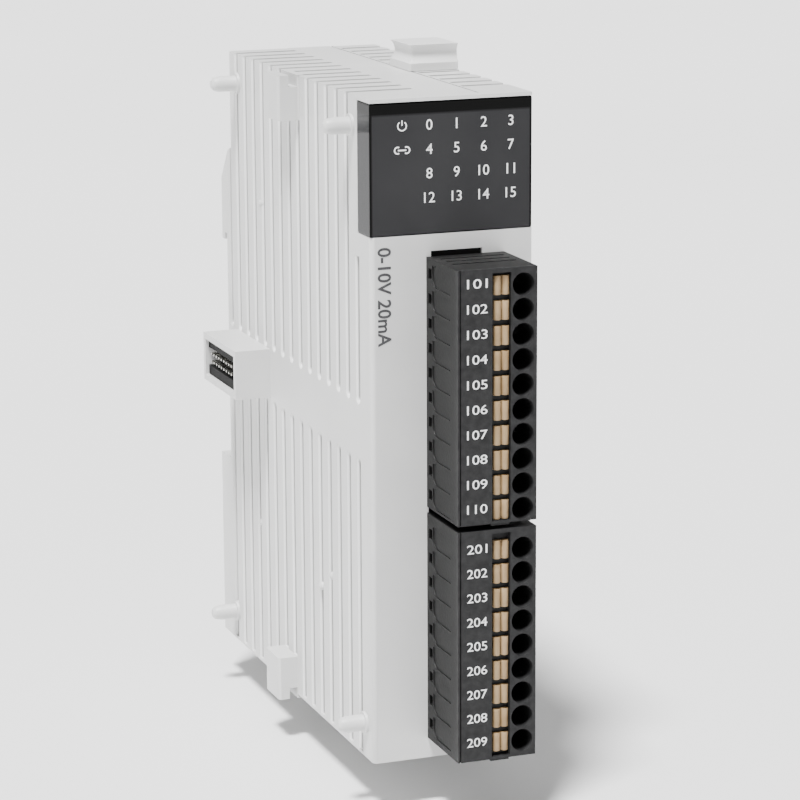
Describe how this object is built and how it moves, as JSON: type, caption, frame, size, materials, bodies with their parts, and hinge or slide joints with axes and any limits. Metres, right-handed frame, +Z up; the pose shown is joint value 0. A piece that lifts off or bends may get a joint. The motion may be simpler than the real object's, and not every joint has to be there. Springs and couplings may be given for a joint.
{
  "type": "plc module",
  "caption": "Slim ribbed DIN-rail PLC analogue output module with indicator window, pull-off push-in terminal plugs, bus connector and lock clips.",
  "frame": {"origin": "centre of the DIN-rail slot: middle of the module width, on the slot floor, half way up the mouth of the slot", "axes": "+X to the right across the width, +Y out of the back towards the mounting panel, +Z up"},
  "size_m": [0.0296, 0.0829, 0.1028],
  "materials": {
    "housing": "fine matte moulded ABS, light warm grey",
    "clip": "matte moulded plastic, near white",
    "window": "smoked polycarbonate, glossy",
    "guide": "matte black light barrier",
    "lamp": "clear diffused epoxy",
    "board": "green solder mask",
    "contact": "tin-plated copper alloy",
    "insulator": "black connector plastic",
    "chip": "black moulding compound",
    "can": "aluminium can",
    "ferrite": "dark ferrite",
    "terminal": "matte charcoal polyamide",
    "button": "matte beige polyamide",
    "spring": "stainless spring steel"
  },
  "bodies": {
    "housing": {"left_housing": "housing", "right_cover": "housing", "display_window": "window", "light_guide": "guide", "indicator_leds": "lamp", "display_board": "board", "bus_header_pins": "contact", "bus_header_insulator": "insulator", "bus_socket_insulator": "insulator", "bus_socket_contacts": "contact", "stacking_connector": "insulator", "stacking_pins": "contact", "main_board": "board", "io_board": "board", "controller_chip": "chip", "converter_chips": "chip", "isolators": "chip", "power_converter": "chip", "capacitors": "can", "inductor": "ferrite", "header_pins_upper": "contact", "terminal_header_upper": "terminal", "header_pins_lower": "contact", "terminal_header_lower": "terminal", "rail_clip_spring": "spring"},
    "upper_plug": {"terminal_plug_upper": "terminal", "contact_bars_upper": "contact", "clamp_springs_upper": "spring"},
    "lower_plug": {"terminal_plug_lower": "terminal", "contact_bars_lower": "contact", "clamp_springs_lower": "spring"},
    "top_lock": {"top_lock_clip": "clip"},
    "bottom_lock": {"bottom_lock_clip": "clip"},
    "rail_latch": {"rail_clip": "clip"},
    "button_01": {"release_button_01": "button"},
    "button_02": {"release_button_02": "button"},
    "button_03": {"release_button_03": "button"},
    "button_04": {"release_button_04": "button"},
    "button_05": {"release_button_05": "button"},
    "button_06": {"release_button_06": "button"},
    "button_07": {"release_button_07": "button"},
    "button_08": {"release_button_08": "button"},
    "button_09": {"release_button_09": "button"},
    "button_10": {"release_button_10": "button"},
    "button_11": {"release_button_11": "button"},
    "button_12": {"release_button_12": "button"},
    "button_13": {"release_button_13": "button"},
    "button_14": {"release_button_14": "button"},
    "button_15": {"release_button_15": "button"},
    "button_16": {"release_button_16": "button"},
    "button_17": {"release_button_17": "button"},
    "button_18": {"release_button_18": "button"},
    "button_19": {"release_button_19": "button"}
  },
  "joints": [
    {"name": "upper_plug_pull", "type": "slide", "parent": "housing", "child": "upper_plug", "axis": [0, -1, 0], "range_m": [0, 0.01]},
    {"name": "lower_plug_pull", "type": "slide", "parent": "housing", "child": "lower_plug", "axis": [0, -1, 0], "range_m": [0, 0.01]},
    {"name": "top_lock_slide", "type": "slide", "parent": "housing", "child": "top_lock", "axis": [0, 0, 1], "range_m": [0, 0.003]},
    {"name": "bottom_lock_slide", "type": "slide", "parent": "housing", "child": "bottom_lock", "axis": [0, 0, -1], "range_m": [0, 0.003]},
    {"name": "rail_latch_slide", "type": "slide", "parent": "housing", "child": "rail_latch", "axis": [0, 0, -1], "range_m": [0, 0.003], "stiffness_N_per_m": 800, "springref_m": -0.0005, "deforming": ["rail_clip_spring"]},
    {"name": "button_01_press", "type": "slide", "parent": "upper_plug", "child": "button_01", "axis": [0, 1, 0], "range_m": [0, 0.001], "stiffness_N_per_m": 300},
    {"name": "button_02_press", "type": "slide", "parent": "upper_plug", "child": "button_02", "axis": [0, 1, 0], "range_m": [0, 0.001], "stiffness_N_per_m": 300},
    {"name": "button_03_press", "type": "slide", "parent": "upper_plug", "child": "button_03", "axis": [0, 1, 0], "range_m": [0, 0.001], "stiffness_N_per_m": 300},
    {"name": "button_04_press", "type": "slide", "parent": "upper_plug", "child": "button_04", "axis": [0, 1, 0], "range_m": [0, 0.001], "stiffness_N_per_m": 300},
    {"name": "button_05_press", "type": "slide", "parent": "upper_plug", "child": "button_05", "axis": [0, 1, 0], "range_m": [0, 0.001], "stiffness_N_per_m": 300},
    {"name": "button_06_press", "type": "slide", "parent": "upper_plug", "child": "button_06", "axis": [0, 1, 0], "range_m": [0, 0.001], "stiffness_N_per_m": 300},
    {"name": "button_07_press", "type": "slide", "parent": "upper_plug", "child": "button_07", "axis": [0, 1, 0], "range_m": [0, 0.001], "stiffness_N_per_m": 300},
    {"name": "button_08_press", "type": "slide", "parent": "upper_plug", "child": "button_08", "axis": [0, 1, 0], "range_m": [0, 0.001], "stiffness_N_per_m": 300},
    {"name": "button_09_press", "type": "slide", "parent": "upper_plug", "child": "button_09", "axis": [0, 1, 0], "range_m": [0, 0.001], "stiffness_N_per_m": 300},
    {"name": "button_10_press", "type": "slide", "parent": "upper_plug", "child": "button_10", "axis": [0, 1, 0], "range_m": [0, 0.001], "stiffness_N_per_m": 300},
    {"name": "button_11_press", "type": "slide", "parent": "lower_plug", "child": "button_11", "axis": [0, 1, 0], "range_m": [0, 0.001], "stiffness_N_per_m": 300},
    {"name": "button_12_press", "type": "slide", "parent": "lower_plug", "child": "button_12", "axis": [0, 1, 0], "range_m": [0, 0.001], "stiffness_N_per_m": 300},
    {"name": "button_13_press", "type": "slide", "parent": "lower_plug", "child": "button_13", "axis": [0, 1, 0], "range_m": [0, 0.001], "stiffness_N_per_m": 300},
    {"name": "button_14_press", "type": "slide", "parent": "lower_plug", "child": "button_14", "axis": [0, 1, 0], "range_m": [0, 0.001], "stiffness_N_per_m": 300},
    {"name": "button_15_press", "type": "slide", "parent": "lower_plug", "child": "button_15", "axis": [0, 1, 0], "range_m": [0, 0.001], "stiffness_N_per_m": 300},
    {"name": "button_16_press", "type": "slide", "parent": "lower_plug", "child": "button_16", "axis": [0, 1, 0], "range_m": [0, 0.001], "stiffness_N_per_m": 300},
    {"name": "button_17_press", "type": "slide", "parent": "lower_plug", "child": "button_17", "axis": [0, 1, 0], "range_m": [0, 0.001], "stiffness_N_per_m": 300},
    {"name": "button_18_press", "type": "slide", "parent": "lower_plug", "child": "button_18", "axis": [0, 1, 0], "range_m": [0, 0.001], "stiffness_N_per_m": 300},
    {"name": "button_19_press", "type": "slide", "parent": "lower_plug", "child": "button_19", "axis": [0, 1, 0], "range_m": [0, 0.001], "stiffness_N_per_m": 300}
  ]
}
